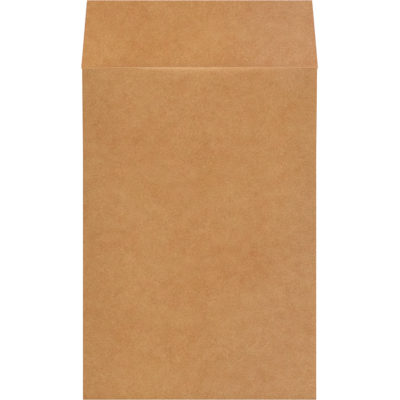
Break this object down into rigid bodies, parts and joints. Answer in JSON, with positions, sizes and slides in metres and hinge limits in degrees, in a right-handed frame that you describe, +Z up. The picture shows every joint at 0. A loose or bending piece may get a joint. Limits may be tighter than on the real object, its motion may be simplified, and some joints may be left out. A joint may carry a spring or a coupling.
{
  "type": "paper envelope",
  "caption": "Open pocket envelope folded from one sheet of brown kraft paper, with its closing flap laid out beyond the mouth.",
  "frame": {"origin": "middle of the address panel's underside, halfway between the bottom fold and the mouth edge", "axes": "+Z up from the surface that it lies on, +Y from the bottom fold towards the flap's tip, +X across"},
  "size_m": [0.2314, 0.3901, 0.0059],
  "materials": {
    "kraft_paper": "matt brown kraft, fine fibre grain"
  },
  "bodies": {
    "root": {"envelope": "kraft_paper"}
  },
  "joints": []
}
